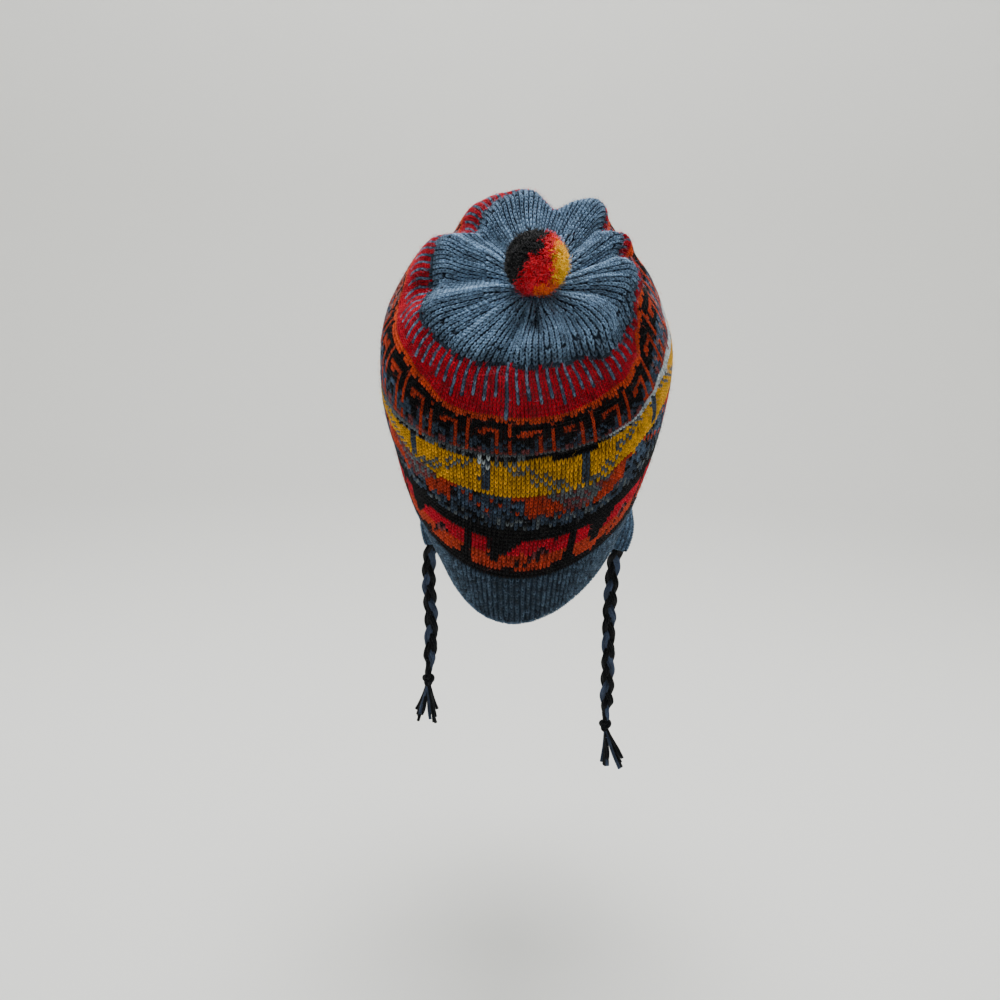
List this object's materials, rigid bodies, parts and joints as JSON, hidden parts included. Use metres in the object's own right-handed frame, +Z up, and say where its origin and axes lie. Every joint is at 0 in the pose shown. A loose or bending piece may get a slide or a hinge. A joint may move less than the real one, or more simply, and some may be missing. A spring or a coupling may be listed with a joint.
{
  "type": "chullo hat",
  "caption": "Knitted chullo hat held as worn: patterned crown with gathered top and pompom, ribbed border, ear flaps and braided ties with tassels.",
  "frame": {"origin": "inside of the crown in the middle of the gather, where the hat bears on the head", "axes": "+Z up as worn, +Y toward the forehead, +X to the wearer's right"},
  "size_m": [0.1593, 0.1839, 0.3655],
  "materials": {
    "patterned_knit": "stranded stocking-stitch knit in crimson, orange, mustard, black, grey and slate blue wool",
    "slate_blue_rib": "one-by-one rib knit in slate blue wool",
    "pompom_yarn": "cut wool pile in black, red, orange and yellow",
    "braid_yarn": "three-strand wool braid, two strands black and one slate blue",
    "tassel_yarn": "loose wool yarn ends, black and slate blue"
  },
  "bodies": {
    "root": {"crown": "patterned_knit", "ribbed_border": "slate_blue_rib", "left_ear_flap": "slate_blue_rib", "right_ear_flap": "slate_blue_rib", "pompom": "pompom_yarn", "left_tie": "braid_yarn", "right_tie": "braid_yarn", "left_tassel": "tassel_yarn", "right_tassel": "tassel_yarn"}
  },
  "joints": []
}
